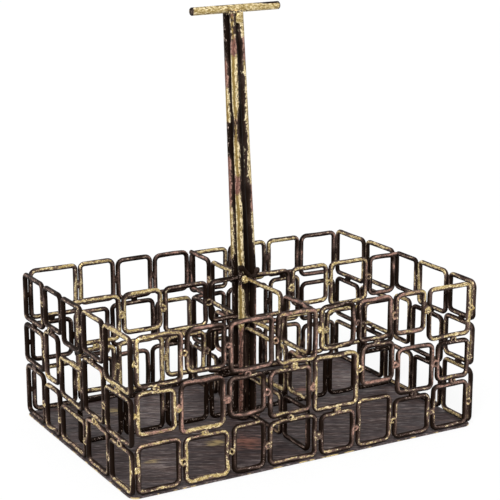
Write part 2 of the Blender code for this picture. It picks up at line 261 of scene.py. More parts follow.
# The way each rod faces where it is rubbed most, along the length and the depth
ROD_LEADS = {
    "front_left": (-1.0, -1.0),
    "front_right": (1.0, -0.8),
    "back_left": (-1.0, -0.1),
    "back_right": (1.0, 0.8),
}
# Bands run into each other over this height, and their edges stray up and down round the rod
ROD_BAND_BLEND = 0.005
ROD_BAND_STRAY = 0.004
ROD_BAND_SCALE = 420.0
# Rods are rubbed more than wires
ROD_GOLD_LIFT = 0.22
BAR_FINISH = Finish(1.26, 0.00)
# Its ends are bare along the rim, and gold again in the middle of the face
BAR_END_LOSS = 1.3
BAR_FACE_LOSS = 1.0
BAR_END_REACH = 0.0008
# The top of the bar is dark towards its right end
BAR_DARK_FROM = 0.016
BAR_DARK_RAMP = 0.006
BAR_DARK_FACING = 0.55
BAR_DARK_LOSS = 1.5
# Its end faces: how wide their middle is, as a share of the bar, and how far it stands out
BAR_FACE_SHARE = 0.55
BAR_FACE_CROWN = 0.00005
# The bar is drawn thinner by this, so that it stays inside the part's box
BAR_TRIM = 0.00013

# How sharply a ring's finish changes from one side to the next
SIDE_BLEND = 4.0
# A wire is rubbed most where it faces out of its wall and a little up, in a band that wanders along it. The
# painted sheen on its dark paint follows this band too.
FACE_POWER = 3.4
LEAD_UP = 0.45
WANDER = 0.85
WANDER_SCALE = 95.0
WANDER_SEED = 3
ROD_FACE_POWER = 1.1
ROD_WANDER = 0.45
ROD_WANDER_SCALE = 70.0

# A weld bead's outline from its crater to its back: distance from its axis, height along it, how rubbed it is
BEAD_PROFILE = (
    (0.18, 0.22, 0.0),
    (0.34, 0.50, 0.3),
    (0.50, 0.92, 0.8),
    (0.68, 1.00, 0.9),
    (0.86, 0.80, 0.7),
    (1.00, 0.30, 0.4),
    (0.96, -0.25, 0.2),
    (0.74, -0.75, 0.2),
    (0.34, -0.98, 0.3),
)
# The first points of the outline lie in the crater. Its depth differs from bead to bead.
CRATER_POINT_COUNT = 2
SHALLOWEST_CRATER = 0.25
BEAD_RADIUS = 0.0029
BEAD_HEIGHT = 0.00180
# How far a bead stands out of its wall, and how far where the rings stand close
BEAD_REACH = 0.00186
FLUSH_BEAD_REACH = 0.00160
SMALLEST_BEAD = 0.72
LARGEST_BEAD = 1.06
BEAD_TILT = 0.30
BEAD_ROUGHNESS = 0.30
BEAD_SCALE = 700.0
BEAD_FINISH_LIFT = 0.08
END_BEAD_SHARE = 0.8

# Where the letters of a ring's finish stand
TOP_SIDE, FAR_SIDE, BOTTOM_SIDE, NEAR_SIDE = range(4)

# Lumps of weld: how far they reach along the length, the depth and the height, and how square and rough
# they are
LUMP_SQUARENESS = 0.75
LUMP_ROUGHNESS = 0.14
LUMP_SCALE = 350.0
FOOT_WELD_RADII = (0.0042, 0.0042, 0.0013)
FOOT_WELD_RUB = 0.55
TIP_WELD_RADII = (0.0023, 0.0021, 0.0016)
TIP_WELD_INSET = 0.0008
TIP_WELD_RUB = 0.6
WEB_RADII = (0.0028, 0.0020, 0.0033)
WEB_SHIFT = 0.0010
WEB_REACH = 0.0052
WEB_DROP = 0.0054
WEB_RUB = 1.0
# The dark weld between the two rods beside a cross divider sags between its ends, which are given from the
# handle's pivot. The curve of the sag is lowest at a fixed share of the way from left to right.
COLLAR_LEFT = Vector((-0.0054, 0.0, 0.0064))
COLLAR_RIGHT = Vector((0.0058, 0.0, 0.0036))
COLLAR_SAG = 0.0048
COLLAR_LOWEST = 2 / 3
COLLAR_RADIUS = 0.0015
COLLAR_END_RADII = (0.0019, 0.0018, 0.0021)
COLLAR_POINTS = 16
COLLAR_REACH = 0.0062
COLLAR_RUB = 0.45
# The gold bead by the collar, from the pivot on the front half. The back half mirrors it.
COLLAR_BEAD_PLACE = (-0.0040, -0.0078, -0.0008)
COLLAR_BEAD_SIZE = 1.15

# The plate's upper and lower edges are broken by this much
PLATE_EDGE = 0.00035

# Rubbing leaves streaks along the wire
ALONG_FLAT = (0.4, 0.4, 1.0)
ALONG_UPRIGHT = (1.0, 1.0, 0.4)

# Where gold and copper wax caught in the plate's brush marks: middle and reach, along the length and the
# depth
GOLD_SPOTS = (
    (-0.0385, -0.0295, 0.017, 0.012),
    (-0.0875, -0.0365, 0.014, 0.008),
    (-0.0710, 0.0550, 0.016, 0.016),
)
COPPER_SPOTS = (
    (-0.0215, -0.0400, 0.028, 0.032),
    (-0.0990, 0.0750, 0.012, 0.010),
    (0.0600, 0.0300, 0.022, 0.016),
)
# Where a painted sheen makes the plate paler
SHEEN_SPOTS = (
    (0.0960, 0.0360, 0.040, 0.040),
    (-0.0520, 0.0370, 0.040, 0.036),
    (-0.0880, -0.0420, 0.026, 0.022),
)
# The brush marks run at a slant to the length
BRUSH_TURN = math.radians(31)

# Colours, linear
BLACK_BROWN = (0.0090, 0.0042, 0.0022)
# Worn grey paint and a painted sheen on the dark paint
UMBER_WEAR_AND_SHEEN = (0.156, 0.101, 0.083)
FLECK = (0.520, 0.400, 0.340)
# A painted highlight on the gold wax
CREAM_HIGHLIGHT = (0.940, 0.800, 0.520)
PALE_GOLD = (0.690, 0.540, 0.245)
DEEP_GOLD = (0.270, 0.183, 0.056)
PALE_COPPER = (0.470, 0.275, 0.215)
DEEP_COPPER = (0.190, 0.085, 0.065)
PLATE_DARK = (0.020, 0.012, 0.012)
PLATE_LIGHT = (0.135, 0.106, 0.110)
PLATE_ROSE = (0.170, 0.112, 0.102)
PLATE_GLINT = (0.330, 0.275, 0.250)
PLATE_GOLD = (0.460, 0.345, 0.150)
PLATE_COPPER = (0.280, 0.120, 0.085)
FLOOR_COLOUR = (0.96, 0.96, 0.96)
WHITE = (1.0, 1.0, 1.0)

# How one metal differs from another: the fineness of its speckles and of its patches, how ragged the wax is,
# how far the paint beside the wax is greyed by wear and by a painted sheen, how much deeper the gold is along
# the middle of the rubbed band, and where the cream painted highlights and the flecks start. A higher start
# leaves less of them.
Metal = namedtuple("Metal", "speckle patch breakup haze core cream_start fleck_start")
WIRE_METAL = Metal(950.0, 85.0, breakup=1.9, haze=1.0, core=0.04, cream_start=0.515, fleck_start=1.56)
ROD_METAL = Metal(1000.0, 60.0, breakup=2.0, haze=0.35, core=0.18, cream_start=0.455, fleck_start=1.60)
BAR_METAL = Metal(1100.0, 60.0, breakup=1.8, haze=0.6, core=0.03, cream_start=0.495, fleck_start=1.60)

# Noise lies around its mean, and a shift of its own keeps each kind apart from the others
MEAN_NOISE = 0.5
METAL_DETAIL = 3.0
SPECKLE_SHIFT = 3.1
GRAIN_FINENESS = 2
GRAIN_SHIFT = 7.7
HUE_FINENESS = 2.0
HUE_SHIFT = 5.3
PIT_FINENESS = 1.1
PIT_SHIFT = 1.7
PIT_RANGE = (0.585, 0.64)

# What counts for whether wax is left, and from where to where it sets in
WEAR_RUB = 1.2
WEAR_PATCHES = 0.8
WEAR_GRAIN = 0.8
WEAR_PITS = -0.95
GILT_START = 2.20
GILT_FULL = 2.34
# The tones of the wax
MIDDLE_RANGE = (0.84, 1.0)
MOTTLE_SHARE = 0.5
TONE_RANGE = (0.38, 0.58)
# How quickly the cream painted highlight sets in
HIGHLIGHT_RAMP = 0.10
COPPER_MARK = 0.8
COPPER_SPECKLE = 0.7
COPPER_RANGE = (1.12, 1.34)
# The grey of worn paint together with a painted sheen where the wire is rubbed, and pale flecks in it
GREY_WAX = 0.6
GREY_RUB = 0.7
GREY_PATCHES = 0.8
GREY_GRAIN = 0.7
GREY_RANGE = (1.10, 1.80)
FLECK_RUB = 0.5
FLECK_SPECKLE = 0.8
FLECK_GRAIN = 1.2
FLECK_RAMP = 0.09
# How metals shine, and how deep their wax and grain stand out
GILT_METALLIC = 0.6
ROUGH_GILT = 0.7
ROUGH_GRAIN = 0.6
ROUGH_RANGE = (0.2, 1.1)
METAL_ROUGHNESS = (0.50, 0.34)
METAL_SPECULAR = 0.05
BUMP_GILT = 0.5
BUMP_GRAIN = 0.6
BUMP_SPECKLE = 0.5
METAL_BUMP = 0.5
METAL_BUMP_DEPTH = 0.0004

# The plate's noise, drawn out along the brush marks
Grain = namedtuple("Grain", "scale detail roughness stretch shift")
STREAKS = Grain(90.0, 6.0, 0.72, (0.40, 5.5, 5.5), 0.0)
FINE_MARKS = Grain(560.0, 3.0, 0.6, (0.30, 2.6, 2.6), 2.3)
PLATE_HUE = Grain(60.0, 3.0, 0.5, (0.5, 4.0, 1.0), 9.1)
STREAK_SHARE = 0.52
FINE_SHARE = 0.48
ROSE_RANGE = (0.42, 0.60)
# How far the painted sheen lifts the plate's brightness and its glints
SHEEN_LIFT = 0.09
BRUSH_RANGE = (0.38, 0.70)
SHEEN_GLINT = 0.06
GLINT_RANGE = (0.555, 0.62)
GLINT_COVER = 0.85
# Wax caught in the brush marks
SPOT_STRENGTH = 1.4
SPOT_BRUSH = 6.0
SPOT_RANGE = (4.05, 4.50)
SPOT_COVER = 0.85
# Gold along the plate's broken edge
EDGE_RUB = 0.6
EDGE_RANGE = (1.11, 1.20)
EDGE_METALLIC = 0.5
FINE_RANGE = (0.3, 0.7)
PLATE_ROUGHNESS = (0.62, 0.45)
PLATE_SPECULAR = 0.2
PLATE_BUMP = 0.2
PLATE_BUMP_DEPTH = 0.0002
# A mix node's colour sockets, by their places
COLOUR_INPUTS = (6, 7)
COLOUR_OUTPUT = 2

# The light, and the white floor, which keeps a share of the shadow
WORLD_STRENGTH = 0.66
SUN_FROM = Vector((-0.75, -0.95, 1.17))
SUN_STRENGTH = 2.4
SUN_ANGLE = math.radians(26)
STAGE_HALF = 6.0
STAGE_DROP = 0.0003
SHADOW_SHARE = 0.16

# Places worked out from the sizes
WIRE_RADIUS = WIRE_DIAMETER / 2
ROD_RADIUS = ROD_DIAMETER / 2
BAR_RADIUS = BAR_DIAMETER / 2
HALF_GAP = RING_GAP / 2
BEAD_PROUD = max(0.0, max(RING_GAP, CLOSE_RING_GAP) / 2 + BEAD_BITE - WIRE_RADIUS)
WALL_X = CADDY_LENGTH / 2 - WIRE_RADIUS
WALL_Y = CADDY_DEPTH / 2 - WIRE_RADIUS
RING_FLOOR = PLATE_THICKNESS + CLEARANCE
RING_HEIGHT = (WALL_TOP - RING_FLOOR) / len(ROW_NAMES)
DIVIDER_END_GAP = BEAD_PROUD + CLEARANCE
CROSSING_GAP = (WIRE_DIAMETER + 2 * CLEARANCE) / math.sqrt(2) - WIRE_RADIUS
ROD_INNER_FACE = WIRE_RADIUS + CLEARANCE
ROD_OFFSET = ROD_INNER_FACE + ROD_RADIUS
ROD_TOP_OFFSET = (ROD_DIAMETER + CLEARANCE) / 2
HANDLE_PIVOT = Vector((0.0, DIVIDER_SETBACK, WALL_TOP))
HANDLE_TURN = Matrix.Rotation(-HANDLE_LEAN, 3, "Y")
BAR_TURN = Matrix.Rotation(-BAR_SLOPE, 3, "Y")
BAR_RISE = HANDLE_TOP - WALL_TOP - BAR_RADIUS
BAR_SEAT = math.sqrt(max(0.0, (BAR_RADIUS + CLEARANCE) ** 2 - ROD_INNER_FACE**2))

TO_RIGHT = Vector((1.0, 0.0, 0.0))
TO_BACK = Vector((0.0, 1.0, 0.0))
UP = Vector((0.0, 0.0, 1.0))

# A wall's gap is the one between its rings, side by side
Wall = namedtuple("Wall", "name start along span outward pattern finishes kind gap")
RingBox = namedtuple("RingBox", "left right bottom top")


class Shape:
    """The points and faces of one piece. Each point also says how gold, coppery and rubbed it is, and
    whether the wire it is on stands upright."""

    def __init__(self):
        self.points = []
        self.faces = []
        self.marks = {"gold": [], "copper": [], "rub": [], "upright": []}

    def add_point(self, place, finish, rub, upright=0.0):
        self.points.append(place)
        self.marks["gold"].append(finish.gold)
        self.marks["copper"].append(finish.copper)
        self.marks["rub"].append(rub)
        self.marks["upright"].append(upright)
        return len(self.points) - 1

    def bridge(self, loops, closed):
        """Faces from each loop of points to the next, and a cap at both ends of an open run."""
        pairs = list(zip(loops, loops[1:]))
        if closed:
            pairs.append((loops[-1], loops[0]))
        for near, far in pairs:
            for k, corner in enumerate(near):
                after = (k + 1) % len(near)
                self.faces.append((corner, near[after], far[after], far[k]))
        if not closed:
            self.faces.append(tuple(reversed(loops[0])))
            self.faces.append(tuple(loops[-1]))


def make_piece(name, shape, material, nodes):
    """A piece of the caddy that stands for some of the part's nodes."""
    mesh = bpy.data.meshes.new(name)
    mesh.from_pydata(shape.points, [], shape.faces)
    for key, values in shape.marks.items():
        mesh.attributes.new(key, "FLOAT", "POINT").data.foreach_set("value", values)
    tidy = bmesh.new()
    tidy.from_mesh(mesh)
    bmesh.ops.recalc_face_normals(tidy, faces=tidy.faces)
    tidy.to_mesh(mesh)
    tidy.free()
    mesh.shade_smooth()
    mesh.set_sharp_from_angle(angle=SHARP_ANGLE)
    mesh.materials.append(material)
    piece = bpy.data.objects.new(name, mesh)
    bpy.context.scene.collection.objects.link(piece)
    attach(piece, "root")
    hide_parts(*nodes)
    return piece


def add_tube(shape, path, across, radii, sides, closed, lump, mark):
    """Round wire along a path, with a radius at each of its points and dents up to a share of it. across is
    a direction that no part of the path follows, and mark gives the finish and the rub of a point from its
    place on the path and the way it faces."""
    loops = []
    last = len(path) - 1
    for index, (centre, radius) in enumerate(zip(path, radii)):
        before = path[index - 1] if closed or index > 0 else centre
        after = path[(index + 1) % len(path)] if closed or index < last else centre
        run = (after - before).normalized()
        side = run.cross(across).normalized()
        rise = side.cross(run)
        upright = abs(run.z)
        loop = []
        for step in range(sides):
            angle = math.tau * step / sides
            facing = side * math.cos(angle) + rise * math.sin(angle)
            dent = lump * (1 + noise.noise((centre + facing * radius) * WIRE_LUMP_SCALE)) / 2
            finish, rub = mark(index, facing)
            loop.append(shape.add_point(centre + facing * radius * (1 - dent), finish, rub, upright))
        loops.append(loop)
    shape.bridge(loops, closed)


def add_bead(shape, centre, outward, finish, draw, size=1.0, reach_out=BEAD_REACH):
    """A weld bead: a low round lump with a crater in its outer face, which reaches out only so far."""
    axis = outward + Vector([BEAD_TILT * draw.uniform(-1, 1) for _ in range(3)])
    axis.normalize()
    side = axis.orthogonal().normalized()
    rise = axis.cross(side)
    size *= draw.uniform(SMALLEST_BEAD, LARGEST_BEAD)
    lift = BEAD_FINISH_LIFT if finish.gold > DARK.gold else 0.0
    lifted = Finish(finish.gold + lift, finish.copper)
    crater = draw.uniform(SHALLOWEST_CRATER, 1)
    loops = []
    for index, (reach, height, rub) in enumerate(BEAD_PROFILE):
        if index < CRATER_POINT_COUNT:
            height = 1 + (height - 1) * crater
            rub = 1 + (rub - 1) * crater
        loop = []
        for step in range(BEAD_SIDES):
            angle = math.tau * step / BEAD_SIDES
            flat = side * math.cos(angle) + rise * math.sin(angle)
            place = (flat * reach * BEAD_RADIUS + axis * height * BEAD_HEIGHT) * size
            place *= 1 + BEAD_ROUGHNESS * noise.noise((centre + place) * BEAD_SCALE)
            place -= outward * max(0.0, place.dot(outward) - reach_out)
            loop.append(shape.add_point(centre + place, lifted, rub))
        loops.append(loop)
    shape.bridge(loops, closed=False)


def add_lump(shape, centre, radii, turn, finish, rub):
    """An uneven lump of weld, as wide, deep and high as its radii say."""
    loops = []
    for row in range(1, LUMP_ROWS):
        polar = math.pi * row / LUMP_ROWS
        loop = []
        for step in range(LUMP_SIDES):
            angle = math.tau * step / LUMP_SIDES
            facing = (math.sin(polar) * math.cos(angle), math.sin(polar) * math.sin(angle), math.cos(polar))
            squared = [math.copysign(abs(share) ** LUMP_SQUARENESS, share) for share in facing]
            place = Vector([share * reach for share, reach in zip(squared, radii)])
            place *= 1 + LUMP_ROUGHNESS * noise.noise((centre + place) * LUMP_SCALE)
            loop.append(shape.add_point(centre + turn @ place, finish, rub))
        loops.append(loop)
    shape.bridge(loops, closed=False)


def bend_radius(box):
    shorter = min(box.right - box.left, box.top - box.bottom)
    return min(RING_CORNER_RADIUS, MOST_BEND_SHARE * shorter)


def ring_distance(one, other):
    """How far apart two rounded boxes are."""
    corners = bend_radius(one) + bend_radius(other) + 2 * WIRE_RADIUS
    across = max(0.0, other.left - one.right + corners, one.left - other.right + corners)
    up = max(0.0, other.bottom - one.top + corners, one.bottom - other.top + corners)
    return math.hypot(across, up) - corners


def row_heights(wall, row, column):
    """The lower and the upper edge of one ring."""
    pattern = wall.pattern
    bottom = RING_FLOOR
    if wall.kind == "divider":
        bottom += DIVIDER_LIFT
    top = WALL_TOP
    if row + 1 < len(ROW_NAMES):
        even = WALL_TOP - RING_HEIGHT * (row + 1)
        bottom = even + RING_HEIGHT * pattern.step[row][column] + HALF_GAP
    if row > 0:
        above, _ = row_heights(wall, row - 1, column)
        top = above - RING_GAP - RING_HEIGHT * pattern.drop[row - 1][column]
    elif pattern.crown:
        top += RING_HEIGHT * pattern.crown[column]
    return bottom, top


def boxes_between(wall, row, joints):
    """The outer boxes of a row's rings, between its upright joints."""
    boxes = []
    for column, (left, right) in enumerate(zip(joints, joints[1:])):
        boxes.append(RingBox(left + wall.gap / 2, right - wall.gap / 2, *row_heights(wall, row, column)))
    return boxes


def wall_boxes(wall):
    """The outer box of each ring of a wall, along the wall and up, row by row from the top."""
    rows = []
    for row, stray in enumerate(wall.pattern.stray):
        columns = len(stray) + 1
        width = wall.span / columns
        inner = [width * (k + 1 + share) for k, share in enumerate(stray)]
        joints = [-wall.gap / 2, *inner, wall.span + wall.gap / 2]
        for k in range(1, columns):
            boxes = boxes_between(wall, row, joints)
            # Where a ring would lap over one of the row above, its joint carries on from that row's joint
            if row > 0:
                above = rows[-1]
                nearest = min(ring_distance(boxes[k - 1], above[k]), ring_distance(boxes[k], above[k - 1]))
                if nearest < CLEARANCE:
                    joints[k] = above[k].left - wall.gap / 2
        rows.append(boxes_between(wall, row, joints))
    return rows


def wall_point(wall, along, height, depth=0.0):
    """A point of a wall, set in by a depth from its outer face's side."""
    return wall.start + wall.along * along + UP * height - wall.outward * depth


def ring_outline(box, draw):
    """The line of one ring along its wall and up, bent by hand: its bends differ and its sides bow."""
    left = box.left + WIRE_RADIUS
    right = box.right - WIRE_RADIUS
    bottom = box.bottom + WIRE_RADIUS
    top = box.top - WIRE_RADIUS
    arcs = []
    for x, y, first in ((right, bottom, -90), (right, top, 0), (left, top, 90), (left, bottom, 180)):
        bend = bend_radius(box) * (1 + BEND_SPREAD * draw.uniform(-1, 1))
        centre_x = x - math.copysign(bend, x - (left + right) / 2)
        centre_y = y - math.copysign(bend, y - (bottom + top) / 2)
        arc = []
        for index in range(BEND_POINTS):
            angle = math.radians(first + 90 * index / (BEND_POINTS - 1))
            arc.append(Vector((centre_x + bend * math.cos(angle), centre_y + bend * math.sin(angle))))
        arcs.append(arc)
    outline = []
    for arc, following in zip(arcs, arcs[1:] + arcs[:1]):
        outline += arc
        run = following[0] - arc[-1]
        bow = SIDE_BOW * draw.uniform(-1, 1) * Vector((run.y, -run.x)).normalized()
        for index in range(1, SIDE_POINTS):
            share = index / SIDE_POINTS
            outline.append(arc[-1] + run * share + bow * math.sin(math.pi * share))
    return outline


def lead_direction(wall, place):
    """The way a wire faces where it is rubbed most."""
    wander = noise.noise_vector(place * WANDER_SCALE)
    return (wall.outward + LEAD_UP * UP + WANDER * wander).normalized()


def wire_rub(wall, lead, facing):
    """How rubbed a wire is where it faces a way, on the outer and on the inner side of its wall."""
    inner_lead = lead - 2 * lead.dot(wall.outward) * wall.outward
    return max(0.0, facing.dot(lead), facing.dot(inner_lead)) ** FACE_POWER


def side_finish(letters, across, up):
    """A ring's finish to one side of its middle."""
    shares = [max(0.0, share) ** SIDE_BLEND for share in (up, across, -up, -across)]
    gold = 0.0
    copper = 0.0
    for letter, share in zip(letters, shares):
        gold += FINISHES[letter].gold * share / sum(shares)
        copper += FINISHES[letter].copper * share / sum(shares)
    return Finish(gold, copper)


def add_ring(shape, wall, box, letters, draw):
    outline = ring_outline(box, draw)
    middle = Vector(((box.left + box.right) / 2, (box.bottom + box.top) / 2))
    lean = RING_DEPTH * draw.uniform(0, 1)
    twist = RING_DEPTH * draw.uniform(-RING_TWIST, RING_TWIST)
    tilt = Matrix.Rotation(RING_TILT * draw.uniform(-1, 1), 2)
    half_width = (box.right - box.left) / 2
    half_height = (box.top - box.bottom) / 2
    path = []
    finishes = []
    for place in outline:
        arm = place - middle
        turned = middle + tilt @ arm
        depth = max(0.0, lean + twist * arm.x / half_width)
        along = min(max(turned.x, WIRE_RADIUS), wall.span - WIRE_RADIUS)
        path.append(wall_point(wall, along, turned.y, depth))
        finishes.append(side_finish(letters, arm.x / half_width, arm.y / half_height))
    leads = [lead_direction(wall, place) for place in path]

    def mark(index, facing):
        return finishes[index], wire_rub(wall, leads[index], facing)

    add_tube(shape, path, wall.outward, [WIRE_RADIUS] * len(path), WIRE_SIDES, True, WIRE_LUMP, mark)


def mixed(one, other):
    """The finish between two, given by their letters."""
    one = FINISHES[one]
    other = FINISHES[other]
    return Finish((one.gold + other.gold) / 2, (one.copper + other.copper) / 2)


def add_row_beads(shape, wall, row, rows, draw):
    """The beads that join the rings of a row to each other, to the row below and to the side walls."""
    boxes = rows[row]
    finishes = wall.finishes[row]
    reach_out = FLUSH_BEAD_REACH if wall.gap == CLOSE_RING_GAP else BEAD_REACH
    for column in range(len(boxes) - 1):
        near = boxes[column]
        far = boxes[column + 1]
        height = (max(near.bottom, far.bottom) + min(near.top, far.top)) / 2
        finish = mixed(finishes[column][FAR_SIDE], finishes[column + 1][NEAR_SIDE])
        place = wall_point(wall, (near.right + far.left) / 2, height)
        add_bead(shape, place, wall.outward, finish, draw, reach_out=reach_out)
    if row + 1 < len(rows):
        for column, (upper, lower) in enumerate(zip(boxes, rows[row + 1])):
            if wall.pattern.drop[row][column] == 0:
                along = (max(upper.left, lower.left) + min(upper.right, lower.right)) / 2
                place = wall_point(wall, along, upper.bottom - HALF_GAP)
                finish = mixed(finishes[column][BOTTOM_SIDE], wall.finishes[row + 1][column][TOP_SIDE])
                add_bead(shape, place, wall.outward, finish, draw, reach_out=reach_out)
    if wall.kind == "long wall":
        ends = (
            (boxes[0], -CORNER_GAP / 2, finishes[0][NEAR_SIDE]),
            (boxes[-1], wall.span + CORNER_GAP / 2, finishes[-1][FAR_SIDE]),
        )
        for box, along, letter in ends:
            place = wall_point(wall, along, (box.bottom + box.top) / 2)
            add_bead(shape, place, wall.outward, FINISHES[letter], draw, END_BEAD_SHARE, reach_out)


def add_end_fill(shape, wall, box, finish):
    """Weld that carries a divider's top wire on to the wall's top wire."""
    height = box.top - WIRE_RADIUS
    first = wall_point(wall, CLEARANCE - DIVIDER_END_GAP, height)
    last = wall_point(wall, 2 * WIRE_RADIUS + bend_radius(box), height)
    path = [first.lerp(last, index / SIDE_POINTS) for index in range(SIDE_POINTS + 1)]
    leads = [lead_direction(wall, place) for place in path]

    def mark(index, facing):
        return finish, wire_rub(wall, leads[index], facing)

    add_tube(shape, path, wall.outward, [WIRE_RADIUS] * len(path), WIRE_SIDES, False, WIRE_LUMP, mark)


def caddy_walls():
    """The four walls and the four divider halves. A half starts at its wall and ends at the post."""
    end_x = WALL_X - WIRE_RADIUS - CORNER_GAP
    side_y = WALL_Y + WIRE_RADIUS
    half_x = WALL_X - WIRE_RADIUS - DIVIDER_END_GAP
    half_y = WALL_Y - WIRE_RADIUS - DIVIDER_END_GAP
    long_span = half_x - CROSSING_GAP
    front_span = half_y + DIVIDER_SETBACK - CROSSING_GAP
    back_span = half_y - DIVIDER_SETBACK - CROSSING_GAP
    middle = DIVIDER_SETBACK
    plans = (
        ("front_wall", -end_x, -WALL_Y, TO_RIGHT, 2 * end_x, -TO_BACK, "long wall", RING_GAP),
        ("back_wall", -end_x, WALL_Y, TO_RIGHT, 2 * end_x, TO_BACK, "long wall", CLOSE_RING_GAP),
        ("left_wall", -WALL_X, side_y, -TO_BACK, 2 * side_y, -TO_RIGHT, "side wall", RING_GAP),
        ("right_wall", WALL_X, side_y, -TO_BACK, 2 * side_y, TO_RIGHT, "side wall", RING_GAP),
        ("long_divider_left", -half_x, middle, TO_RIGHT, long_span, -TO_BACK, "divider", CLOSE_RING_GAP),
        ("long_divider_right", half_x, middle, -TO_RIGHT, long_span, -TO_BACK, "divider", CLOSE_RING_GAP),
        ("cross_divider_front", 0.0, -half_y, TO_BACK, front_span, -TO_RIGHT, "divider", RING_GAP),
        ("cross_divider_back", 0.0, half_y, -TO_BACK, back_span, -TO_RIGHT, "divider", RING_GAP),
    )
    walls = []
    for name, x, y, along, span, outward, kind, gap in plans:
        rings = [row.split() for row in RING_FINISHES[name]]
        walls.append(Wall(name, Vector((x, y, 0.0)), along, span, outward, PATTERNS[name], rings, kind, gap))
    return walls


def add_collar(shape, y_sign, draw):
    """The weld between the post and a half of the cross divider: a dark sagging web and a gold bead."""
    path = []
    for index in range(COLLAR_POINTS + 1):
        share = index / COLLAR_POINTS
        sag = COLLAR_SAG * share**2 * (1 - share) / (COLLAR_LOWEST**2 * (1 - COLLAR_LOWEST))
        place = COLLAR_LEFT.lerp(COLLAR_RIGHT, share) - sag * UP
        path.append(HANDLE_PIVOT + place + y_sign * COLLAR_REACH * TO_BACK)

    def mark(index, facing):
        return DARK, COLLAR_RUB

    add_tube(shape, path, TO_BACK, [COLLAR_RADIUS] * len(path), WIRE_SIDES, False, WIRE_LUMP, mark)
    for centre in (path[0], path[-1]):
        add_lump(shape, centre, COLLAR_END_RADII, Matrix.Identity(3), DARK, COLLAR_RUB)
    x, y, z = COLLAR_BEAD_PLACE
    place = HANDLE_PIVOT + Vector((x, -y_sign * y, z))
    add_bead(shape, place, y_sign * TO_BACK, GILDED, draw, COLLAR_BEAD_SIZE)


def add_walls(material, draw):
    for wall in caddy_walls():
        rows = wall_boxes(wall)
        for row, boxes in enumerate(rows):
            shape = Shape()
            for box, letters in zip(boxes, wall.finishes[row]):
                add_ring(shape, wall, box, letters, draw)
            add_row_beads(shape, wall, row, rows, draw)
            if wall.kind == "divider" and row == 0:
                add_end_fill(shape, wall, boxes[0], FINISHES[wall.finishes[row][0][TOP_SIDE]])
            if wall.name.startswith("cross_divider") and row == 0:
                add_collar(shape, -wall.along.y, draw)
            name = f"{wall.name}_{ROW_NAMES[row]}"
            make_piece(f"{name}_wires", shape, material, [f"{name}_rings"])


def on_handle(x, y, rise):
    """A point of the leaning handle, from its place beside and above the pivot."""
    return HANDLE_PIVOT + HANDLE_TURN @ Vector((x, y, rise))


def bar_drop(x):
    """How far the bar lies below its middle at a place across the handle, as the leaning rods see it."""
    return math.tan(HANDLE_LEAN - BAR_SLOPE) * (x - BAR_SHIFT)


def band_finish(bands, height):
    """A rod's finish at a height."""
    for index, (end, finish) in enumerate(bands):
        if height <= end:
            above = bands[min(index + 1, len(bands) - 1)][1]
            share = max(0.0, 1 - (end - height) / ROD_BAND_BLEND)
            gold = finish.gold + (above.gold - finish.gold) * share
            copper = finish.copper + (above.copper - finish.copper) * share
            return Finish(gold + ROD_GOLD_LIFT, copper)
    return bands[-1][1]


def rod_path(x_sign, y_sign):
    """A rod's line, straight up to the walls' top and from there to the bar."""
    x = x_sign * ROD_OFFSET
    y = y_sign * ROD_OFFSET
    foot = Vector((x, DIVIDER_SETBACK + y, RING_FLOOR))
    knee = on_handle(x, y, 0.0)
    tip_x = x_sign * ROD_TOP_OFFSET
    drop = max(bar_drop(tip_x - ROD_RADIUS), bar_drop(tip_x + ROD_RADIUS))
    tip = on_handle(tip_x, y, BAR_RISE - BAR_SEAT - drop)
    low = (knee - foot).length
    high = (tip - knee).length
    low_points = round(ROD_POINTS * low / (low + high))
    high_points = ROD_POINTS - low_points
    path = [foot.lerp(knee, index / low_points) for index in range(low_points)]
    return path + [knee.lerp(tip, index / high_points) for index in range(high_points + 1)]


def add_rod(name, x_sign, y_sign, material):
    path = rod_path(x_sign, y_sign)
    outward = Vector((*ROD_LEADS[name], 0.0)).normalized()
    leads = []
    for place in path:
        wander = noise.noise_vector(place * ROD_WANDER_SCALE)
        leads.append((outward + ROD_WANDER * wander).normalized())

    def mark(index, facing):
        stray = noise.noise((path[index] + facing * ROD_RADIUS) * ROD_BAND_SCALE)
        finish = band_finish(ROD_BANDS[name], path[index].z + ROD_BAND_STRAY * stray)
        return finish, max(0.0, facing.dot(leads[index])) ** ROD_FACE_POWER

    shape = Shape()
    add_tube(shape, path, TO_BACK, [ROD_RADIUS] * len(path), ROD_SIDES, False, ROD_LUMP, mark)
    foot_weld = Vector((path[0].x, path[0].y, RING_FLOOR + FOOT_WELD_RADII[2]))
    add_lump(shape, foot_weld, FOOT_WELD_RADII, Matrix.Identity(3), RUST, FOOT_WELD_RUB)
    tip_weld = path[-1] - TIP_WELD_INSET * y_sign * TO_BACK
    add_lump(shape, tip_weld, TIP_WELD_RADII, HANDLE_TURN, GOLD, TIP_WELD_RUB)
    make_piece(f"post_rod_{name}", shape, material, [f"handle_rod_{name}"])


def add_rods(material):
    for side, x_sign in (("left", -1), ("right", 1)):
        for end, y_sign in (("front", -1), ("back", 1)):
            add_rod(f"{end}_{side}", x_sign, y_sign, material)


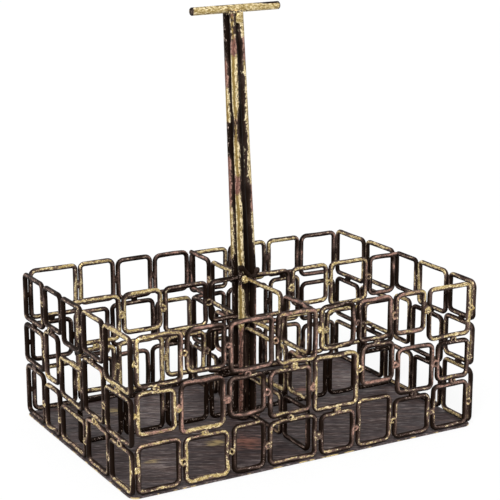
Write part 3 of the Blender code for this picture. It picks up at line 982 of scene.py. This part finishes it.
def add_bar(material):
    half = BAR_LENGTH / 2
    straight = half - BAR_CHAMFER
    offsets = [straight * (2 * index / BAR_POINTS - 1) for index in range(BAR_POINTS + 1)]
    rim = half - BAR_FACE_CROWN
    offsets = [-half, -rim, *offsets, rim, half]
    middle = on_handle(BAR_SHIFT, 0.0, BAR_RISE)
    path = [middle + BAR_TURN @ Vector((offset, 0.0, 0.0)) for offset in offsets]
    end_radius = BAR_RADIUS - BAR_CHAMFER
    face_radius = BAR_FACE_SHARE * BAR_RADIUS
    rounds = [BAR_RADIUS - BAR_TRIM] * (BAR_POINTS + 1)
    radii = [face_radius, end_radius, *rounds, end_radius, face_radius]

    def mark(index, facing):
        gold = BAR_FINISH.gold
        if index in (0, len(offsets) - 1):
            gold -= BAR_FACE_LOSS
        elif half - abs(offsets[index]) < BAR_END_REACH:
            gold -= BAR_END_LOSS
        if facing.z > BAR_DARK_FACING:
            gold -= BAR_DARK_LOSS * min(max(0.0, (offsets[index] - BAR_DARK_FROM) / BAR_DARK_RAMP), 1.0)
        return Finish(gold, BAR_FINISH.copper), abs(facing.y)

    shape = Shape()
    add_tube(shape, path, TO_BACK, radii, ROD_SIDES, False, ROD_LUMP, mark)
    for y_sign in (-1, 1):
        centre = on_handle(WEB_SHIFT, y_sign * WEB_REACH, BAR_RISE - WEB_DROP)
        add_lump(shape, centre, WEB_RADII, HANDLE_TURN, GILDED, WEB_RUB)
    make_piece("grip_bar", shape, material, ["handle_bar"])


def round_corners(inset, height):
    """The plate's outline at a height, set in from its edge."""
    half_x = CADDY_LENGTH / 2
    half_y = CADDY_DEPTH / 2
    radius = PLATE_CORNER_RADIUS
    reach = radius - inset
    outline = []
    for x_sign, y_sign, first in ((1, -1, -90), (1, 1, 0), (-1, 1, 90), (-1, -1, 180)):
        centre_x = x_sign * (half_x - radius)
        centre_y = y_sign * (half_y - radius)
        for index in range(PLATE_CORNER_POINTS):
            angle = math.radians(first + 90 * index / (PLATE_CORNER_POINTS - 1))
            x = centre_x + reach * math.cos(angle)
            y = centre_y + reach * math.sin(angle)
            outline.append(Vector((x, y, height)))
    return outline


def add_plate(material):
    shape = Shape()
    loops = []
    for inset, height, rub in (
        (PLATE_EDGE, 0.0, 0.0),
        (0.0, PLATE_EDGE, 1.0),
        (0.0, PLATE_THICKNESS - PLATE_EDGE, 1.0),
        (PLATE_EDGE, PLATE_THICKNESS, 0.0),
    ):
        loops.append([shape.add_point(place, DARK, rub) for place in round_corners(inset, height)])
    shape.bridge(loops, closed=False)
    make_piece("floor_plate", shape, material, ["base_plate"])


class Paint:
    """A material's nodes, with short ways to add to them."""

    def __init__(self, name):
        self.material = bpy.data.materials.new(name)
        self.material.use_nodes = True
        self.tree = self.material.node_tree
        self.shader = self.tree.nodes["Principled BSDF"]
        self.place = self.tree.nodes.new("ShaderNodeTexCoord").outputs["Object"]

    def feed(self, socket, value):
        if isinstance(value, bpy.types.NodeSocket):
            self.tree.links.new(value, socket)
        else:
            socket.default_value = value

    def mark(self, name):
        node = self.tree.nodes.new("ShaderNodeAttribute")
        node.attribute_name = name
        return node.outputs["Fac"]

    def turn(self, angle):
        """The place, turned about the upright axis."""
        mapping = self.tree.nodes.new("ShaderNodeMapping")
        self.feed(mapping.inputs["Vector"], self.place)
        mapping.inputs["Rotation"].default_value = (0.0, 0.0, angle)
        return mapping.outputs["Vector"]

    def noise(self, scale, detail=2.0, roughness=0.5, stretch=(1.0, 1.0, 1.0), shift=0.0, place=None):
        mapping = self.tree.nodes.new("ShaderNodeMapping")
        self.feed(mapping.inputs["Vector"], place or self.place)
        mapping.inputs["Scale"].default_value = stretch
        mapping.inputs["Location"].default_value = (shift, shift, shift)
        node = self.tree.nodes.new("ShaderNodeTexNoise")
        self.feed(node.inputs["Vector"], mapping.outputs["Vector"])
        node.inputs["Scale"].default_value = scale
        node.inputs["Detail"].default_value = detail
        node.inputs["Roughness"].default_value = roughness
        return node.outputs[0]

    def calc(self, operation, first, second):
        node = self.tree.nodes.new("ShaderNodeMath")
        node.operation = operation
        self.feed(node.inputs[0], first)
        self.feed(node.inputs[1], second)
        return node.outputs[0]

    def weigh(self, *terms):
        """The sum of values, each times its weight."""
        total = None
        for value, weight in terms:
            part = self.calc("MULTIPLY", value, weight)
            total = part if total is None else self.calc("ADD", total, part)
        return total

    def between(self, share, first, second):
        """A value between two, by a share."""
        node = self.tree.nodes.new("ShaderNodeMix")
        self.feed(node.inputs["Factor"], share)
        self.feed(node.inputs["A"], first)
        self.feed(node.inputs["B"], second)
        return node.outputs["Result"]

    def spot(self, middle, reach):
        """1 in the middle of an oval and 0 at its rim."""
        offset = self.tree.nodes.new("ShaderNodeVectorMath")
        offset.operation = "SUBTRACT"
        self.feed(offset.inputs[0], self.place)
        self.feed(offset.inputs[1], middle)
        scaled = self.tree.nodes.new("ShaderNodeVectorMath")
        scaled.operation = "DIVIDE"
        self.feed(scaled.inputs[0], offset.outputs["Vector"])
        self.feed(scaled.inputs[1], reach)
        length = self.tree.nodes.new("ShaderNodeVectorMath")
        length.operation = "LENGTH"
        self.feed(length.inputs[0], scaled.outputs["Vector"])
        return self.ramp(length.outputs["Value"], 0.0, 1.0, 1.0, 0.0)

    def nearest_spot(self, spots):
        """How near the middle of the nearest of some ovals on the plate."""
        nearest = None
        for x, y, reach_x, reach_y in spots:
            spot = self.spot((x, y, 0.0), (reach_x, reach_y, 1.0))
            nearest = spot if nearest is None else self.calc("MAXIMUM", nearest, spot)
        return nearest

    def ramp(self, value, low, high, low_out=0.0, high_out=1.0):
        node = self.tree.nodes.new("ShaderNodeMapRange")
        node.interpolation_type = "SMOOTHSTEP"
        self.feed(node.inputs["Value"], value)
        node.inputs["From Min"].default_value = low
        node.inputs["From Max"].default_value = high
        node.inputs["To Min"].default_value = low_out
        node.inputs["To Max"].default_value = high_out
        return node.outputs["Result"]

    def blend(self, share, first, second):
        """A colour between two, by a share."""
        node = self.tree.nodes.new("ShaderNodeMix")
        node.data_type = "RGBA"
        self.feed(node.inputs["Factor"], share)
        for index, colour in zip(COLOUR_INPUTS, (first, second)):
            self.feed(node.inputs[index], (*colour, 1.0) if isinstance(colour, tuple) else colour)
        return node.outputs[COLOUR_OUTPUT]

    def bump(self, height, strength, distance):
        node = self.tree.nodes.new("ShaderNodeBump")
        node.inputs["Strength"].default_value = strength
        node.inputs["Distance"].default_value = distance
        self.feed(node.inputs["Height"], height)
        self.feed(self.shader.inputs["Normal"], node.outputs["Normal"])

    def finish(self, colour, metallic, roughness, specular):
        self.feed(self.shader.inputs["Base Color"], colour)
        self.feed(self.shader.inputs["Metallic"], metallic)
        self.feed(self.shader.inputs["Roughness"], roughness)
        self.feed(self.shader.inputs["Specular IOR Level"], specular)


def rubbed_metal(name, metal):
    """Dark paint with gold and copper wax rubbed over it, worn through in patches and speckles. The dark
    paint is greyed by wear and by a painted sheen, and the wax carries painted cream highlights.
    """
    paint = Paint(name)
    rub = paint.mark("rub")
    waxed = paint.mark("gold")
    patches = paint.noise(metal.patch, METAL_DETAIL)
    flat_speckle = paint.noise(metal.speckle, METAL_DETAIL, stretch=ALONG_FLAT, shift=SPECKLE_SHIFT)
    upright_speckle = paint.noise(metal.speckle, METAL_DETAIL, stretch=ALONG_UPRIGHT, shift=SPECKLE_SHIFT)
    speckle = paint.between(paint.mark("upright"), flat_speckle, upright_speckle)
    grain = paint.noise(metal.speckle * GRAIN_FINENESS, shift=GRAIN_SHIFT)
    hue = paint.noise(metal.patch * HUE_FINENESS, METAL_DETAIL, shift=HUE_SHIFT)
    pits = paint.ramp(paint.noise(metal.speckle * PIT_FINENESS, METAL_DETAIL, shift=PIT_SHIFT), *PIT_RANGE)
    wear = paint.weigh(
        (waxed, 1.0),
        (rub, WEAR_RUB),
        (patches, WEAR_PATCHES),
        (speckle, metal.breakup),
        (grain, WEAR_GRAIN),
        (pits, WEAR_PITS),
    )
    ragged = MEAN_NOISE * metal.breakup
    gilt = paint.ramp(wear, GILT_START + ragged, GILT_FULL + ragged)
    middle = paint.ramp(rub, *MIDDLE_RANGE)
    mottle = paint.weigh((speckle, MOTTLE_SHARE), (grain, MOTTLE_SHARE), (middle, -metal.core))
    tone = paint.ramp(mottle, *TONE_RANGE)
    # Cream painted highlights in the wax, where its speckles run high
    cream_highlight = paint.ramp(mottle, metal.cream_start, metal.cream_start + HIGHLIGHT_RAMP)
    gold = paint.blend(cream_highlight, paint.blend(tone, DEEP_GOLD, PALE_GOLD), CREAM_HIGHLIGHT)
    copper = paint.blend(tone, DEEP_COPPER, PALE_COPPER)
    copper_wear = paint.weigh((paint.mark("copper"), COPPER_MARK), (hue, 1.0), (speckle, COPPER_SPECKLE))
    wax = paint.blend(paint.ramp(copper_wear, *COPPER_RANGE), gold, copper)
    # Worn grey and a painted sheen on the dark paint, where it is waxed and rubbed
    wear_and_sheen_sum = paint.weigh((waxed, GREY_WAX), (rub, GREY_RUB), (patches, GREY_PATCHES), (grain, GREY_GRAIN))
    wear_and_sheen = paint.calc("MULTIPLY", paint.ramp(wear_and_sheen_sum, *GREY_RANGE), metal.haze)
    fleck_wear = paint.weigh((rub, FLECK_RUB), (speckle, FLECK_SPECKLE), (grain, FLECK_GRAIN))
    flecks = paint.ramp(fleck_wear, metal.fleck_start, metal.fleck_start + FLECK_RAMP)
    dark = paint.blend(flecks, paint.blend(wear_and_sheen, BLACK_BROWN, UMBER_WEAR_AND_SHEEN), FLECK)
    rough = paint.weigh((gilt, ROUGH_GILT), (grain, ROUGH_GRAIN))
    paint.finish(
        paint.blend(gilt, dark, wax),
        paint.calc("MULTIPLY", gilt, GILT_METALLIC),
        paint.ramp(rough, *ROUGH_RANGE, *METAL_ROUGHNESS),
        METAL_SPECULAR,
    )
    height = paint.weigh((gilt, BUMP_GILT), (grain, BUMP_GRAIN), (speckle, BUMP_SPECKLE))
    paint.bump(height, METAL_BUMP, METAL_BUMP_DEPTH)
    return paint.material


def brushed_plate():
    """Dark plate brushed at a slant to its length, with faint gold and copper in the brush marks, painted
    glints along them, and painted sheen in paler patches.
    """
    paint = Paint("brushed_plate_finish")
    place = paint.turn(BRUSH_TURN)
    streaks = paint.noise(*STREAKS, place)
    fine = paint.noise(*FINE_MARKS, place)
    hue = paint.noise(*PLATE_HUE, place)
    brush = paint.weigh((streaks, STREAK_SHARE), (fine, FINE_SHARE))
    # Painted sheen: patches where the plate is paler and its glints more plentiful
    sheen_spot = paint.nearest_spot(SHEEN_SPOTS)
    light = paint.blend(paint.ramp(hue, *ROSE_RANGE), PLATE_LIGHT, PLATE_ROSE)
    bright = paint.ramp(paint.weigh((brush, 1.0), (sheen_spot, SHEEN_LIFT)), *BRUSH_RANGE)
    base = paint.blend(bright, PLATE_DARK, light)
    glint = paint.ramp(paint.weigh((brush, 1.0), (sheen_spot, SHEEN_GLINT)), *GLINT_RANGE)
    base = paint.blend(paint.calc("MULTIPLY", glint, GLINT_COVER), base, PLATE_GLINT)
    for colour, spots in ((PLATE_GOLD, GOLD_SPOTS), (PLATE_COPPER, COPPER_SPOTS)):
        catch = paint.weigh((paint.nearest_spot(spots), SPOT_STRENGTH), (brush, SPOT_BRUSH))
        caught = paint.calc("MULTIPLY", paint.ramp(catch, *SPOT_RANGE), SPOT_COVER)
        base = paint.blend(caught, base, colour)
    edge = paint.ramp(paint.weigh((paint.mark("rub"), EDGE_RUB), (hue, 1.0)), *EDGE_RANGE)
    paint.finish(
        paint.blend(edge, base, PALE_GOLD),
        paint.calc("MULTIPLY", edge, EDGE_METALLIC),
        paint.ramp(fine, *FINE_RANGE, *PLATE_ROUGHNESS),
        PLATE_SPECULAR,
    )
    paint.bump(brush, PLATE_BUMP, PLATE_BUMP_DEPTH)
    return paint.material


def seen_directly(tree):
    """1 for rays from the camera, or reflected or let through to it, and 0 for light on the object."""
    path = tree.nodes.new("ShaderNodeLightPath")
    most = path.outputs["Is Camera Ray"]
    for name in ("Is Glossy Ray", "Is Transmission Ray"):
        node = tree.nodes.new("ShaderNodeMath")
        node.operation = "MAXIMUM"
        tree.links.new(most, node.inputs[0])
        tree.links.new(path.outputs[name], node.inputs[1])
        most = node.outputs[0]
    return most


def end_in_mix(tree, share, first, second, output):
    """Ends a node tree in a mix of two shaders, by a share."""
    mix = tree.nodes.new("ShaderNodeMixShader")
    tree.links.new(share, mix.inputs["Fac"])
    tree.links.new(first.outputs[0], mix.inputs[1])
    tree.links.new(second.outputs[0], mix.inputs[2])
    tree.links.new(mix.outputs[0], tree.nodes[output].inputs["Surface"])


def add_world():
    world = bpy.data.worlds.new("studio")
    bpy.context.scene.world = world
    world.use_nodes = True
    tree = world.node_tree
    light = tree.nodes["Background"]
    light.inputs["Color"].default_value = (*WHITE, 1.0)
    light.inputs["Strength"].default_value = WORLD_STRENGTH
    backdrop = tree.nodes.new("ShaderNodeBackground")
    backdrop.inputs["Color"].default_value = (*WHITE, 1.0)
    end_in_mix(tree, seen_directly(tree), light, backdrop, "World Output")


def add_stage():
    mesh = bpy.data.meshes.new("stage_floor")
    signs = ((-1, -1), (1, -1), (1, 1), (-1, 1))
    corners = [(x * STAGE_HALF, y * STAGE_HALF, -STAGE_DROP) for x, y in signs]
    mesh.from_pydata(corners, [], [(0, 1, 2, 3)])
    material = bpy.data.materials.new("stage_white")
    material.use_nodes = True
    tree = material.node_tree
    shader = tree.nodes["Principled BSDF"]
    shader.inputs["Base Color"].default_value = (*FLOOR_COLOUR, 1.0)
    shader.inputs["Roughness"].default_value = 1.0
    shader.inputs["Specular IOR Level"].default_value = 0.0
    glow = tree.nodes.new("ShaderNodeEmission")
    glow.inputs["Color"].default_value = (*WHITE, 1.0)
    share = tree.nodes.new("ShaderNodeMath")
    share.operation = "MULTIPLY"
    tree.links.new(seen_directly(tree), share.inputs[0])
    share.inputs[1].default_value = 1 - SHADOW_SHARE
    end_in_mix(tree, share.outputs[0], shader, glow, "Material Output")
    mesh.materials.append(material)
    floor = bpy.data.objects.new("stage_floor", mesh)
    bpy.context.scene.collection.objects.link(floor)


def add_sun():
    """A broad soft lamp from the front, the left and above."""
    data = bpy.data.lights.new("sun", "SUN")
    data.energy = SUN_STRENGTH
    data.angle = SUN_ANGLE
    lamp = bpy.data.objects.new("sun", data)
    lamp.location = SUN_FROM
    lamp.rotation_euler = SUN_FROM.to_track_quat("Z", "Y").to_euler()
    bpy.context.scene.collection.objects.link(lamp)


def add_camera():
    data = bpy.data.cameras.new("camera")
    data.sensor_width = SENSOR_WIDTH
    data.lens = LENS
    data.dof.use_dof = False
    camera = bpy.data.objects.new("camera", data)
    camera.location = CAMERA_PLACE
    camera.rotation_euler = (math.pi / 2 - CAMERA_PITCH, 0.0, -CAMERA_TURN)
    bpy.context.scene.collection.objects.link(camera)
    bpy.context.scene.camera = camera


bpy.context.scene.view_settings.view_transform = "Standard"
add_camera()
add_world()
add_sun()
add_stage()
hand = random.Random(SEED)
noise.seed_set(WANDER_SEED)
wire_metal = rubbed_metal("rubbed_wire", WIRE_METAL)
rod_metal = rubbed_metal("rubbed_rod", ROD_METAL)
bar_metal = rubbed_metal("rubbed_bar", BAR_METAL)
add_walls(wire_metal, hand)
add_rods(rod_metal)
add_bar(bar_metal)
add_plate(brushed_plate())
